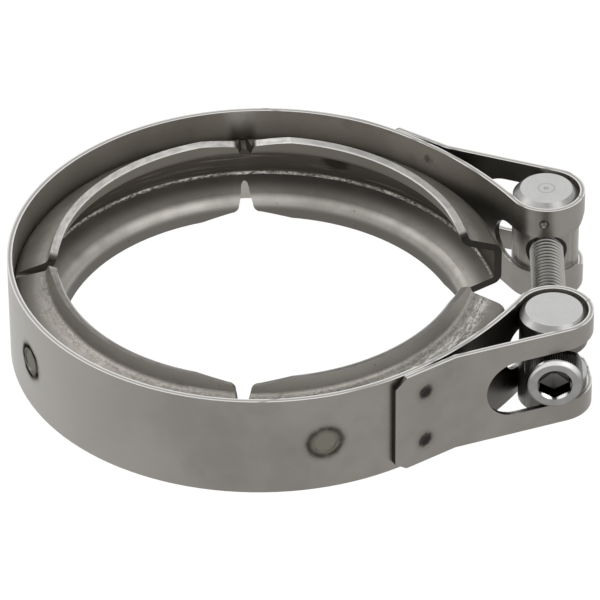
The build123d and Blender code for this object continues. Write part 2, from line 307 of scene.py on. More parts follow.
# The strap's mid-lines as the CAD has them
LOOP_RADIUS = 8.55
LEG_START = 55.0
TAIL_RADIUS = 59.45
TAIL_LIFT = 55.5
TAIL_RUN = 12.6
TAIL_END = 59.5
TAIL_CORNER = 3.4


def inner_leg():
    """Centre and radius of the arc that leads from the ring to the far loop."""
    trunnion = Vector((TRUNNION_X, TRUNNION_Y, 0))
    leaving = Vector(on_ring(1.0, LEG_START))
    along = trunnion.dot(leaving)
    rest = trunnion.length_squared + BAND_MID_RADIUS ** 2 - 2 * along * BAND_MID_RADIUS
    radius = (rest - LOOP_RADIUS ** 2) / (2 * (BAND_MID_RADIUS + LOOP_RADIUS - along))
    return tuple((BAND_MID_RADIUS - radius) * leaving), radius


def straight_runs():
    """A point and the direction of each straight mid-line, of the tail and of the outer leg."""
    trunnion = Vector((TRUNNION_X, TRUNNION_Y, 0))
    lift = Vector(on_ring(TAIL_RADIUS, TAIL_LIFT))
    run = Vector(on_ring(1.0, TAIL_LIFT - 90))
    fold = lift + TAIL_RUN * run
    to_trunnion = trunnion - fold
    turn = math.asin(LOOP_RADIUS / to_trunnion.length)
    outer = Matrix.Rotation(turn, 3, "Z") @ to_trunnion.normalized()
    return ((lift, run), (fold, outer))


class StrapFinish(RingFinish):
    """The strap's finish, with both loops folded onto the +Y side."""

    def __init__(self, name):
        super().__init__(name)
        side = self.absolute(self.y)
        self.half = self.joined(self.x, side, self.z)
        self.flat = self.joined(self.x, side, 0.0)
        leg_centre, leg_radius = inner_leg()
        self.from_leg = self.less(self.distance(self.flat, leg_centre), leg_radius)
        self.grain = self.stretched_noise(self.place, (0.05, 0.05, 5.0), 4.0, 0.65)
        self.mottle = self.noise(self.place, 0.045, detail=3.0, rough=0.6)
        self.patches = self.noise(self.place, 0.2, detail=4.0, rough=0.6)
        in_band = self.step(self.from_axis, *INNER_RADIUS)
        self.inner = self.times(self.step(self.facing, *INNER_FACING), in_band)
        self.sheared = self.step(self.up, *EDGE_UP)

    def from_midline(self):
        """Distance from the middle of the sheet's thickness."""
        from_loop = self.distance(self.flat, (TRUNNION_X, TRUNNION_Y, 0.0))
        offsets = [
            self.less(self.from_axis, BAND_MID_RADIUS),
            self.less(self.from_axis, TAIL_RADIUS),
            self.less(from_loop, LOOP_RADIUS),
            self.from_leg,
        ]
        for point, direction in straight_runs():
            across = Vector((-direction.y, direction.x, 0))
            along_across = self.vector("DOT_PRODUCT", self.flat, tuple(across))
            offsets.append(self.less(along_across, point.dot(across)))
        nearest = self.absolute(offsets[0])
        for offset in offsets[1:]:
            nearest = self.maths("MINIMUM", nearest, self.absolute(offset))
        return nearest


def rolled_sheet(f):
    """The sheet's colour, with brown scale and a painted reflection that lightens its left side."""
    colour = f.mixed(f.step(f.mottle, 0.35, 0.65), ROLLED_DARK, ROLLED)
    colour = f.painted(colour, SCALE_BROWN, f.step(f.patches, 0.5, 0.8, 0.0, 0.25))
    colour = f.painted(colour, ROLLED, f.step(f.grain, 0.3, 0.7, 0.0, 0.3))
    # Painted reflection: the band is made lighter towards its left side
    return f.painted(colour, LEFT_SIDE_REFLECTION, f.step(f.x, *LEFT_SIDE_X, 0.0, 0.9))


def inner_wall(f, colour):
    """The inside of the band: a lighter tone as painted light, pits, a smear by the far loop and painted
    shade behind the rear notch.
    """
    # Painted light: the inside of the band is made lighter than the same sheet outside
    tone = f.mixed(f.step(f.mottle, 0.35, 0.7), INNER_WALL_LIT_LIGHT, INNER_WALL_LIT_DARK)
    tone = f.painted(tone, SCALE_BROWN, f.step(f.patches, 0.55, 0.75, 0.0, 0.3))
    colour = f.painted(colour, tone, f.inner, 0.8)
    pits = f.noise(f.place, 1.3, detail=2.0)
    colour = f.painted(colour, DARK_MARK_AND_SHADE, f.inner, f.step(pits, 0.76, 0.80))
    smear = f.wavered(f.distance(f.place, SMEAR_PLACE), f.noise(f.place, 1.1), 3.0)
    colour = f.painted(colour, DARK_MARK_AND_SHADE, f.step(smear, 0.3, 1.6, 0.6, 0.0))
    # Painted shade on the band's inside, seen dark through the retainer's rear notch
    from_notch = f.absolute(f.less(f.x, NOTCH_SHADE_X))
    notch_shade = f.times(f.step(from_notch, *NOTCH_SHADE_AWAY), f.step(f.y, *NOTCH_SHADE_Y))
    notch_shade = f.times(notch_shade, f.step(f.z, *NOTCH_SHADE_FROM), f.step(f.z, *NOTCH_SHADE_TO))
    return f.painted(colour, CHANNEL_BROWN_AND_SHADE, notch_shade, f.inner, 0.7)


def ring_weld_marks(f, colour):
    """The round marks outside the ring, with the share of each point that they dull."""
    outside = f.step(f.from_axis, BAND_MID_RADIUS - 0.05, BAND_MID_RADIUS + 0.05)
    wobble = f.noise(f.place, 0.5, detail=2.0)
    worn = f.step(f.noise(f.place, 0.35, detail=2.0), 0.3, 0.6, 0.65, 1.0)
    dull = 0.0
    for angle in RING_WELD_ANGLES:
        away = f.wavered(f.distance(f.half, on_ring(BAND_OUTER_RADIUS, angle)), wobble, 0.8)
        halo = f.times(f.ridge(away, RING_WELD_RIM, 2.2), 0.8)
        rim = f.times(f.ridge(away, RING_WELD_RIM - 0.1, 1.25), worn)
        line = f.times(f.ridge(away, RING_WELD_DISC, 0.35), 0.25)
        disc = f.step(away, RING_WELD_DISC + 0.3, RING_WELD_DISC + 1.1, 0.85, 0.0)
        marks = f.most(rim, line)
        colour = f.painted(colour, SCALE_BROWN, halo, outside)
        colour = f.painted(colour, WELD_DISC_TONE, disc, outside)
        colour = f.painted(colour, DARK_MARK_AND_SHADE, marks, outside)
        dull = f.most(dull, f.times(f.most(marks, f.times(disc, 0.45)), outside))
    return colour, dull


def tail_weld_marks(f, colour):
    """The two dark dimples that hold each lapped tail."""
    ragged = f.noise(f.place, 0.8)
    for height in (-TAIL_WELD_HEIGHT, TAIL_WELD_HEIGHT):
        weld = on_ring(TAIL_WELD_RADIUS, TAIL_WELD_ANGLE, height)
        away = f.wavered(f.distance(f.half, weld), ragged, 1.2)
        colour = f.painted(colour, SCALE_BROWN, f.step(away, 1.0, 3.8, 0.75, 0.0))
        colour = f.painted(colour, WELD_CORE, f.step(away, 1.15, 2.3, 0.97, 0.0))
    return colour


def loop_marks(f, colour):
    """A painted shade ring round each stake's dimple, and painted shade in the wedge between the legs of
    a loop.
    """
    # Painted shade: a dark ring for the hollow of each stake's dimple
    stake_x = TRUNNION_X + STAKE_RADIUS * math.cos(STAKE_ANGLE)
    stake_y = TRUNNION_Y + STAKE_RADIUS * math.sin(STAKE_ANGLE)
    from_stake = f.distance(f.half, (stake_x, stake_y, STAKE_HEIGHT))
    colour = f.painted(colour, DARK_MARK_AND_SHADE, f.ridge(from_stake, STAKE_RING, 0.45), 0.9)
    # Painted shade between the legs of a loop
    wedge_shade = f.times(f.step(f.absolute(f.from_leg), *LEG_SHEET), f.step(f.facing, *WEDGE_FACING))
    wedge_shade = f.times(wedge_shade, f.step(f.x, *WEDGE_FROM_X), f.step(f.x, *WEDGE_TO_X))
    return f.painted(colour, DARK_MARK_AND_SHADE, wedge_shade, 0.8)


def strap_edges(f, colour):
    """Bright sheared edges with painted highlights along both corners and a duller middle, and painted
    shadow on the cut end of each tail.
    """
    across = f.from_midline()
    # Partly sheared metal, partly painted highlights: two bright lines along the corners and a duller
    # middle
    edge_and_highlight = f.mixed(f.step(across, *EDGE_FROM_MIDDLE), SHEARED_MIDDLE, SHEARED_AND_HIGHLIGHT)
    colour = f.painted(colour, edge_and_highlight, f.sheared)
    # Painted shadow on the cut end of each tail, at the step it makes on the ring
    from_end = f.distance(f.flat, on_ring(TAIL_RADIUS, TAIL_END))
    tail_end_shadow = f.times(f.step(from_end, TAIL_CORNER + 0.3, TAIL_CORNER), f.step(f.up, *TAIL_CUT_UP))
    return f.painted(colour, PIT_DARK_AND_SHADE, tail_end_shadow, f.step(f.absolute(f.facing), *TAIL_CUT_FACING))


def strap_steel():
    """Rolled stainless sheet: fine grain along the strip, weld marks and bright sheared edges, with
    painted light, shade and highlights in places.
    """
    f = StrapFinish("strap_steel")
    colour = inner_wall(f, rolled_sheet(f))
    colour, dull = ring_weld_marks(f, colour)
    colour = strap_edges(f, loop_marks(f, tail_weld_marks(f, colour)))
    roughness = f.step(f.grain, 0.2, 0.8, 0.30, 0.42)
    roughness = f.maths("MULTIPLY_ADD", f.inner, 0.08, roughness)
    roughness = f.maths("MULTIPLY_ADD", f.sheared, -0.06, roughness)
    f.tint(f.mixed(dull, NO_TINT, WELD_TINT))
    f.bump(f.maths("MULTIPLY_ADD", f.mottle, 3.0, f.grain), 0.006)
    return f.metal(colour, roughness)


# Tones of the retainer
# Painted highlight on the retainer's lower bend
BEND_HIGHLIGHT = (0.52, 0.50, 0.465)
BEND_HIGHLIGHT_DARK = (0.41, 0.393, 0.36)
# Painted shade on the retainer's lower lip
LOWER_LIP_SHADE = (0.165, 0.156, 0.142)
UPPER_LIP_TONE = (0.165, 0.151, 0.130)
BOWL_DARK = (0.25, 0.236, 0.215)
BOWL_LIGHT = (0.31, 0.295, 0.27)
BOWL_OUTWARD = (0.40, 0.38, 0.35)
BURNT = (0.022, 0.017, 0.012)
CREASE_LIGHT = (0.60, 0.58, 0.54)
GALLED = (0.62, 0.61, 0.575)
SMOOTHED = (0.215, 0.205, 0.186)
RUBBED_DARK = (0.10, 0.092, 0.08)
FLECK_LIGHT = (0.46, 0.445, 0.41)
# Painted light and shade on the lips' edges: lighter at the rear, darker at the front and to the right
LIT_REAR_EDGE_DARK = (0.39, 0.38, 0.36)
LIT_REAR_EDGE_LIGHT = (0.54, 0.53, 0.505)
SHADED_FRONT_EDGE_DARK = (0.19, 0.18, 0.165)
SHADED_FRONT_EDGE_LIGHT = (0.27, 0.26, 0.24)
RIGHT_EDGE_SHADE = (0.13, 0.126, 0.118)
# Painted shade on the sides of the rear notch
NOTCH_SIDE_SHADE = (0.085, 0.078, 0.068)

# Regions of the retainer, as pairs like the strap's, with angles in degrees
LOWER_BEND_FROM = (-4.4, -5.8)
LOWER_BEND_TO = (-9.2, -7.6)
LOWER_LIP_Z = (-7.6, -9.4)
BOWL_Z = (5.0, 7.0)
BOWL_RADIUS = (54.0, 51.0)
BOWL_FACING = (-0.2, 0.2)
BOWL_OUTWARD_FACING = (0.3, 0.8)
INWARD_FACING = (-0.3, -0.7)
UPPER_LIP_Z = (5.5, 7.0)
WEB_HEIGHT = (5.2, 4.0)
HEAT_ANGLE = 71.5
HEAT_Z = 0.6
HEAT_ALONG = 0.25
HEAT_ACROSS = 0.42
CREASE_RADIUS = 55.4
CREASE_HEIGHT = 3.8
UPPER_FLANK_Z = (3.0, 5.0)
GALLED_FROM_ANGLE = (-72.0, -50.0)
GALLED_TO_ANGLE = (-10.0, -14.0)
GALLED_RADIUS = 53.0
SMOOTHED_ANGLE = (-88.0, -125.0)
SMOOTHED_RADIUS = (52.4, 54.2)
FRONT_Y = (2.0, -4.0)
RUBBED_RADIUS = 50.6
FLECKED_RADIUS = 52.6
LIP_EDGE_UP = (0.80, 0.90)
LIP_EDGE_HEIGHT = (9.0, 9.5)
REAR_EDGE_Y = (-15.0, 10.0)
RIGHT_EDGE_X = (-5.0, 25.0)
LIP_RIM_RADIUS = (47.4, 47.1)
CUT_SIDEWAYS = (0.55, 0.75)
MOUTH_X = (30.0, 40.0)


class RetainerFinish(RingFinish):
    """The retainer's finish, with the noises that run round the ring."""

    def __init__(self, name):
        super().__init__(name)
        self.height = self.absolute(self.z)
        self.angle = self.times(self.maths("ARCTAN2", self.y, self.x), math.degrees(1.0))
        self.inward = self.step(self.facing, *INWARD_FACING)
        around = self.vector("CROSS_PRODUCT", (0.0, 0.0, 1.0), self.outward)
        self.sideways = self.absolute(self.vector("DOT_PRODUCT", self.normal, around))
        unrolled = self.joined(self.from_axis, self.angle, self.z)
        self.mottle = self.noise(self.place, 0.09, detail=4.0, rough=0.6)
        self.streaks = self.stretched_noise(unrolled, (1.3, 0.28, 1.3), 4.0, 0.65)
        self.grit = self.stretched_noise(unrolled, (2.6, 0.9, 2.6), 4.0, 0.65)
        self.scratches = self.stretched_noise(unrolled, (2.5, 0.06, 2.5), 3.0, 0.7)

    def streaked(self, dark, light):
        return self.mixed(self.step(self.streaks, 0.35, 0.65), dark, light)


def pressed_sheet(f):
    """The channel's colour, with a painted highlight on its lower bend, painted shade on its lower lip,
    its upper lip and the back of its upper lip.
    """
    colour = f.mixed(f.step(f.mottle, 0.35, 0.7), ROLLED_DARK, ROLLED)
    # Painted highlight along the lower bend
    bend = f.times(f.step(f.z, *LOWER_BEND_FROM), f.step(f.z, *LOWER_BEND_TO))
    bend_highlight = f.mixed(f.step(f.mottle, 0.35, 0.65), BEND_HIGHLIGHT, BEND_HIGHLIGHT_DARK)
    colour = f.painted(colour, bend_highlight, bend, 0.9)
    # Painted shade: the lower lip is made darker below the bend
    colour = f.painted(colour, LOWER_LIP_SHADE, f.step(f.z, *LOWER_LIP_Z), 0.85)
    bowl = f.times(f.step(f.z, *BOWL_Z), f.step(f.from_axis, *BOWL_RADIUS))
    bowl_tone = f.streaked(BOWL_DARK, BOWL_LIGHT)
    bowl_tone = f.painted(bowl_tone, BOWL_OUTWARD, f.step(f.facing, *BOWL_OUTWARD_FACING))
    colour = f.painted(colour, bowl_tone, bowl, f.step(f.facing, *BOWL_FACING))
    return f.painted(colour, UPPER_LIP_TONE, f.inward, f.step(f.z, *UPPER_LIP_Z), 0.95)


def channel_inside(f, colour):
    """The web, brown and darkened by painted shade of the channel's hollow, with its scratches and burnt
    patch, and the bright crease beside it.
    """
    # Brown tone, deepened with painted shade of the channel's hollow
    web = f.times(f.inward, f.step(f.height, *WEB_HEIGHT))
    colour = f.painted(colour, CHANNEL_BROWN_AND_SHADE, web, 0.9)
    colour = f.painted(colour, ROLLED_DARK, web, f.step(f.scratches, 0.55, 0.68, 0.0, 0.6))
    along = f.times(f.less(f.angle, HEAT_ANGLE), HEAT_ALONG)
    across = f.times(f.less(f.z, HEAT_Z), HEAT_ACROSS)
    from_heat = f.wavered(f.vector("LENGTH", f.joined(along, 0.0, across)), f.streaks, 0.9)
    colour = f.painted(colour, BURNT, web, f.step(from_heat, 0.5, 1.15, 0.8, 0.0))
    section = f.joined(f.from_axis, f.height, 0.0)
    from_crease = f.distance(section, (CREASE_RADIUS, CREASE_HEIGHT, 0.0))
    crease = f.step(from_crease, 0.15, 0.6, 1.0, 0.0)
    wear = f.times(f.step(f.grit, 0.38, 0.6), f.step(f.mottle, 0.62, 0.42, 0.45, 1.0))
    return f.painted(colour, CREASE_LIGHT, crease, wear)


def flank_wear(f, colour):
    """Wear on the upper flank, galled beside the mouth, with the share that is galled."""
    top = f.step(f.z, *UPPER_FLANK_Z)
    wander = f.wavered(f.from_axis, f.streaks, 3.0)
    smooth = f.times(f.step(f.angle, *SMOOTHED_ANGLE), f.step(wander, *SMOOTHED_RADIUS), top)
    colour = f.painted(colour, SMOOTHED, smooth, f.step(f.streaks, 0.3, 0.6, 0.35, 0.9))
    front = f.times(f.step(f.y, *FRONT_Y), top)
    rubbed = f.times(f.ridge(wander, RUBBED_RADIUS, 1.5), f.step(f.grit, 0.55, 0.42, 0.0, 0.5))
    colour = f.painted(colour, RUBBED_DARK, front, rubbed)
    flecks = f.times(f.ridge(wander, FLECKED_RADIUS, 1.9), f.step(f.grit, 0.56, 0.68, 0.0, 0.45))
    colour = f.painted(colour, FLECK_LIGHT, front, flecks)
    near_mouth = f.times(f.step(f.angle, *GALLED_FROM_ANGLE), f.step(f.angle, *GALLED_TO_ANGLE))
    near_mouth = f.times(near_mouth, f.ridge(wander, GALLED_RADIUS, 2.2), top)
    grit = f.step(f.grit, 0.45, 0.6, 0.0, 0.35)
    smeared = f.maths("MULTIPLY_ADD", f.step(f.streaks, 0.44, 0.60), 0.75, grit)
    galled = f.maths("MULTIPLY", near_mouth, smeared, clamp=True)
    colour = f.painted(colour, GALLED, galled)
    colour = f.painted(colour, CHANNEL_BROWN_AND_SHADE, near_mouth, f.step(f.grit, 0.44, 0.34, 0.0, 0.6))
    return colour, galled


def retainer_edges(f, colour):
    """The lips' edges, with painted light at the rear, painted shade at the front and to the right and a
    painted highlight along the inner rim, painted shade on the sides of the cuts, and pits.
    """
    # Painted light and shade: the lips' edges lighter at the rear, darker at the front and right, with a
    # painted highlight along the inner rim
    rear = f.streaked(LIT_REAR_EDGE_DARK, LIT_REAR_EDGE_LIGHT)
    front = f.streaked(SHADED_FRONT_EDGE_DARK, SHADED_FRONT_EDGE_LIGHT)
    tone = f.mixed(f.step(f.y, *REAR_EDGE_Y), front, rear)
    tone = f.painted(tone, RIGHT_EDGE_SHADE, f.step(f.x, *RIGHT_EDGE_X, 0.0, 0.55))
    tone = f.painted(tone, SHEARED_AND_HIGHLIGHT, f.step(f.from_axis, *LIP_RIM_RADIUS, 0.0, 0.45))
    lip_edge = f.times(f.step(f.up, *LIP_EDGE_UP), f.step(f.height, *LIP_EDGE_HEIGHT))
    colour = f.painted(colour, tone, lip_edge)
    # Painted shade on the sides of the cuts and the notch
    cut_shade = f.mixed(f.step(f.x, *MOUTH_X), NOTCH_SIDE_SHADE, PIT_DARK_AND_SHADE)
    colour = f.painted(colour, cut_shade, f.step(f.sideways, *CUT_SIDEWAYS))
    pits = f.noise(f.place, 1.1, detail=2.0)
    return f.painted(colour, PIT_DARK_AND_SHADE, f.step(pits, 0.74, 0.78, 0.0, 0.8))


def retainer_steel():
    """Pressed stainless channel: brown inside and darkened by painted shade, galled round its flanks,
    with painted shade where it was cut.
    """
    f = RetainerFinish("retainer_steel")
    colour = channel_inside(f, pressed_sheet(f))
    colour, galled = flank_wear(f, colour)
    colour = retainer_edges(f, colour)
    f.bump(f.maths("MULTIPLY_ADD", galled, 1.5, f.mottle), 0.05)
    return f.metal(colour, f.step(f.mottle, 0.2, 0.8, 0.50, 0.60))


# Tones of the trunnions, with painted shade on the sides, darker still on the near one, with the screw's
# head
NEAR_SHADED_SIDE_DARK = (0.09, 0.085, 0.077)
NEAR_SHADED_SIDE_LIGHT = (0.15, 0.143, 0.131)
FAR_SHADED_SIDE_DARK = (0.19, 0.178, 0.160)
FAR_SHADED_SIDE_LIGHT = (0.27, 0.255, 0.232)
CHAMFER_DARK = (0.30, 0.297, 0.29)
CHAMFER_LIGHT = (0.38, 0.376, 0.368)
TURNED = (0.56, 0.56, 0.555)
TURNED_DULL = (0.52, 0.52, 0.515)
TURNED_CLOUDED = (0.50, 0.50, 0.495)
CENTRE_MARK = (0.12, 0.12, 0.118)
# Painted shade in the mouth of the screw's hole
HOLE_SHADE = (0.02, 0.018, 0.016)

# Regions of the trunnions, as pairs like the strap's
FAR_TRUNNION_Y = (-1.0, 1.0)
CHAMFER_UP = (0.5, 0.6)
END_UP = (0.85, 0.92)
CENTRE_RADIUS = (0.35, 0.8)
CENTRE_RING_RADIUS = 1.9
HOLE_RADIUS = (4.7, 5.0)


def trunnion_steel():
    """Turned steel: faint rings on the ends, darker chamfers, and drawn sides darkened by painted shade,
    most on the near trunnion.
    """
    f = Finish("trunnion_steel")
    from_screw = f.less(f.x, TRUNNION_X)
    across = f.joined(from_screw, f.less(f.absolute(f.y), TRUNNION_Y), 0.0)
    radius = f.vector("LENGTH", across)
    rings = f.noise(f.joined(radius, 0.0, 0.0), 2.2, detail=3.0, rough=0.6)
    drawn = f.stretched_noise(f.place, (1.6, 1.6, 0.05), 3.0, 0.6)
    cloud = f.noise(f.place, 0.25, detail=3.0)
    far = f.step(f.y, *FAR_TRUNNION_Y)

    # Painted shade: sides darker than the ends, the near trunnion's darker than the far one's
    near_side_shade = f.mixed(f.step(drawn, 0.3, 0.7), NEAR_SHADED_SIDE_DARK, NEAR_SHADED_SIDE_LIGHT)
    far_side_shade = f.mixed(f.step(drawn, 0.3, 0.7), FAR_SHADED_SIDE_DARK, FAR_SHADED_SIDE_LIGHT)
    side_shade = f.mixed(far, near_side_shade, far_side_shade)
    chamfer_tone = f.mixed(f.step(cloud, 0.4, 0.65), CHAMFER_DARK, CHAMFER_LIGHT)
    end_tone = f.mixed(f.step(rings, 0.35, 0.65), TURNED_DULL, TURNED)
    end_tone = f.painted(end_tone, TURNED_CLOUDED, f.step(cloud, 0.4, 0.7, 0.0, 0.6))
    centre = f.step(radius, *CENTRE_RADIUS, 0.9, 0.0)
    mark = f.most(centre, f.times(f.ridge(radius, CENTRE_RING_RADIUS, 0.4), 0.3))
    end_tone = f.painted(end_tone, CENTRE_MARK, mark, far)

    colour = f.mixed(f.step(f.up, *CHAMFER_UP), side_shade, chamfer_tone)
    colour = f.painted(colour, end_tone, f.step(f.up, *END_UP))
    # Painted shade round the screw in the mouth of its hole
    from_hole = f.vector("LENGTH", f.joined(from_screw, 0.0, f.z))
    colour = f.painted(colour, HOLE_SHADE, f.step(from_hole, *HOLE_RADIUS, 1.0, 0.0))
    f.bump(rings, 0.006)
    return f.metal(colour, f.step(cloud, 0.3, 0.7, 0.32, 0.40))


# Tones of the screw
FACE_DARK = (0.235, 0.232, 0.227)
FACE_LIGHT = (0.28, 0.277, 0.27)
# Painted shade in the thread grooves and painted highlights on the crests
GROOVE_SHADE = (0.035, 0.033, 0.03)
CREST_HIGHLIGHT = (0.40, 0.39, 0.37)
# Painted highlight on the top of the head's rim
RIM_HIGHLIGHT = (0.78, 0.775, 0.765)
# Painted shade on the knurled side of the head
KNURL_SHADE = (0.06, 0.057, 0.052)
# Painted light and shade on the socket's mouth
MOUTH_SHADE = (0.22, 0.217, 0.21)
MOUTH_HIGHLIGHT = (0.92, 0.92, 0.91)
# Painted shade on the socket's walls, floor and drill point
SOCKET_SHADE = (0.02, 0.019, 0.018)
SOCKET_FLOOR_SHADE = (0.07, 0.068, 0.065)
SOCKET_FLOOR_LIT = (0.19, 0.187, 0.18)
DRILL_POINT_SHADE = (0.02, 0.02, 0.02)
SCREW_TINT = (0.4, 0.4, 0.4, 1.0)

# Regions of the screw, as pairs like the strap's, with depths from the head's face
SHANK_DEPTH = (8.0, 8.1)
HEAD_DEPTH = (7.5, 7.4)
THREAD_FLANK_RADIUS = (3.45, 3.9)
RIM_RADIUS = (5.5, 5.7)
RIM_DEPTH = (1.3, 1.0)
RIM_Z = (1.0, 5.5)
KNURL_RADIUS = (6.30, 6.47)
KNURL_INNER_RADIUS = (5.5, 6.0)
KNURL_FROM_DEPTH = (1.1, 1.3)
KNURL_TO_DEPTH = (7.6, 7.4)
SOCKET_RADIUS = (4.15, 4.05)
MOUTH_DEPTH = (0.0, 0.05)
MOUTH_Z = (-1.5, -2.5)
WALL_DEPTH = (0.52, 0.6)
FLOOR_DEPTH = (4.0, 4.02)
FLOOR_Z = (-2.5, 2.5)
DRILL_POINT_RADIUS = (0.35, 0.7)


def screw_steel():
    """Plated screw steel with painted light and shade: dark thread grooves, knurl and socket walls, and
    lighter crests, rim and socket mouth, with a face lighter than the grooves.
    """
    f = Finish("screw_steel")
    cloud = f.noise(f.place, 0.35, detail=3.0, rough=0.5)
    radius = f.vector("LENGTH", f.joined(f.less(f.x, TRUNNION_X), 0.0, f.z))
    depth = f.less(f.y, SCREW_FACE_Y)
    in_socket = f.times(f.step(radius, *SOCKET_RADIUS), f.step(depth, *HEAD_DEPTH))

    face_tone = f.mixed(f.step(cloud, 0.35, 0.65), FACE_DARK, FACE_LIGHT)
    # Painted shade in the grooves and painted highlights on the crests
    thread_light_and_shade = f.mixed(f.step(radius, *THREAD_FLANK_RADIUS), GROOVE_SHADE, CREST_HIGHLIGHT)
    colour = f.mixed(f.step(depth, *SHANK_DEPTH), face_tone, thread_light_and_shade)
    colour = f.painted(colour, face_tone, f.step(f.y, SCREW_TIP_Y - 0.08, SCREW_TIP_Y - 0.02))
    # Painted highlight along the upper part of the head's rim
    rim = f.times(f.step(radius, *RIM_RADIUS), f.step(depth, *RIM_DEPTH))
    colour = f.painted(colour, RIM_HIGHLIGHT, rim, f.step(f.z, *RIM_Z, 0.0, 0.9))
    # Painted shade over the knurled side of the head
    knurl = f.times(f.step(radius, *KNURL_RADIUS, 1.0, 0.0), f.step(radius, *KNURL_INNER_RADIUS))
    knurl = f.times(knurl, f.step(depth, *KNURL_FROM_DEPTH), f.step(depth, *KNURL_TO_DEPTH))
    colour = f.painted(colour, KNURL_SHADE, knurl)

    # Painted light: the socket's mouth bright at its lower side, darker above
    mouth_light_and_shade = f.mixed(f.step(f.z, *MOUTH_Z), MOUTH_SHADE, MOUTH_HIGHLIGHT)
    colour = f.painted(colour, mouth_light_and_shade, in_socket, f.step(depth, *MOUTH_DEPTH))
    # Painted shade down the socket, with its floor lighter towards the top
    colour = f.painted(colour, SOCKET_SHADE, in_socket, f.step(depth, *WALL_DEPTH))
    floor = f.times(in_socket, f.step(depth, *FLOOR_DEPTH))
    floor_light_and_shade = f.mixed(f.step(f.z, *FLOOR_Z), SOCKET_FLOOR_SHADE, SOCKET_FLOOR_LIT)
    colour = f.painted(colour, floor_light_and_shade, floor)
    point = f.step(radius, *DRILL_POINT_RADIUS, 0.9, 0.0)
    colour = f.painted(colour, DRILL_POINT_SHADE, floor, point)
    f.tint(SCREW_TINT)
    return f.metal(colour, f.step(cloud, 0.3, 0.7, 0.28, 0.36))


def finish_node(node, material):
    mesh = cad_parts[node].data
    mesh.materials.clear()
    mesh.materials.append(material)


def add_object(name, data):
    thing = bpy.data.objects.new(name, data)
    bpy.context.scene.collection.objects.link(thing)
    return thing


finish_node("band_strap", strap_steel())
finish_node("v_retainer", retainer_steel())
turned = trunnion_steel()
finish_node("plain_trunnion", turned)
finish_node("threaded_trunnion", turned)

# The screw with its thread and its knurled head, in place of the plain CAD one
THREAD_PITCH = 1.25
THREAD_RADIUS = 4.0
THREAD_ROOT_RADIUS = 3.27
THREAD_ROOT_ROUNDING = 0.04
THREAD_STEPS = 40
CREST_SHARE = 0.16
ROOT_SHARE = 0.24
TIP_CHAMFER = 1.0
SPARE_TURNS = 2
SHANK_OVERLAP = 0.2
HEAD_HEIGHT = 8.0
HEAD_RADIUS = 6.5
HEAD_RIM_RADIUS = 1.0
HEAD_RIM_STEPS = 4
HEAD_RIM_INSET = 0.02
HEAD_CHAMFER = 0.35
HEAD_CHAMFER_INSET = 0.05
KNURL_COUNT = 72
KNURL_DEPTH = 0.22
KNURL_STEPS = 4
KNURL_FROM_RIM = 0.35
KNURL_FROM_SEAT = 0.7
SEAT_INNER_RADIUS = THREAD_ROOT_RADIUS - 0.5
SOCKET_FLAT_RADIUS = 3.5
SOCKET_FLOOR_DEPTH = 4.0
SOCKET_MOUTH_DEPTH = 0.55
SOCKET_MOUTH_RADIUS = 4.05
SOCKET_FLOOR_DROP = 1.2
SOCKET_POINT_SHARE = 0.02
SEAT_Y = SCREW_FACE_Y + HEAD_HEIGHT
CUT_REACH_M = 1e-9
ON_CUT_M = 1e-6


def screw_point(y, radius, angle):
    """Point round the screw's axis, in metres; the angle is in radians from +X towards +Z."""
    x = TRUNNION_X + radius * math.cos(angle)
    return Vector((x, y, radius * math.sin(angle))) * MM


def thread_profile():
    """Axial place and radius of one turn's corners, crest first."""
    crest = CREST_SHARE * THREAD_PITCH
    root = ROOT_SHARE * THREAD_PITCH
    flank = (THREAD_PITCH - crest - root) / 2
    middle = crest + flank + root / 2
    return [
        (0.0, THREAD_RADIUS),
        (crest, THREAD_RADIUS),
        (crest + flank, THREAD_ROOT_RADIUS + THREAD_ROOT_ROUNDING),
        (middle, THREAD_ROOT_RADIUS),
        (crest + flank + root, THREAD_ROOT_RADIUS + THREAD_ROOT_ROUNDING),
    ]


def add_thread(mesh):
    """Helical thread from inside the head to the chamfered tip."""
    profile = thread_profile()
    start = SEAT_Y - SPARE_TURNS * THREAD_PITCH
    turns = math.ceil((SCREW_TIP_Y - start) / THREAD_PITCH) + SPARE_TURNS
    rows = []
    for step in range(THREAD_STEPS):
        angle = 2 * math.pi * step / THREAD_STEPS
        row = []
        for turn in range(turns):
            for along, radius in profile:
                y = start + (turn + step / THREAD_STEPS) * THREAD_PITCH + along
                limit = THREAD_RADIUS - TIP_CHAMFER + max(SCREW_TIP_Y - y, 0.0)
                row.append(mesh.verts.new(screw_point(y, min(radius, limit), angle)))
        rows.append(row)
    for step, here in enumerate(rows):
        last = step == THREAD_STEPS - 1
        there = rows[0] if last else rows[step + 1]
        shift = len(profile) if last else 0
        for index in range(len(here) - 1 - shift):
            mesh.faces.new((here[index], here[index + 1], there[index + 1 + shift], there[index + shift]))


def cut_ends(mesh, low_y, high_y):
    """Cuts a tube square at both ends and closes it."""
    for y, outward in ((low_y, -1), (high_y, 1)):
        everything = mesh.verts[:] + mesh.edges[:] + mesh.faces[:]
        bmesh.ops.bisect_plane(
            mesh, geom=everything, dist=CUT_REACH_M, plane_co=(0, y * MM, 0), plane_no=(0, outward, 0),
            clear_outer=True,
        )
        rim = [
            edge for edge in mesh.edges
            if edge.is_boundary and abs(edge.verts[0].co.y - y * MM) < ON_CUT_M
        ]
        bmesh.ops.contextual_create(mesh, geom=rim)


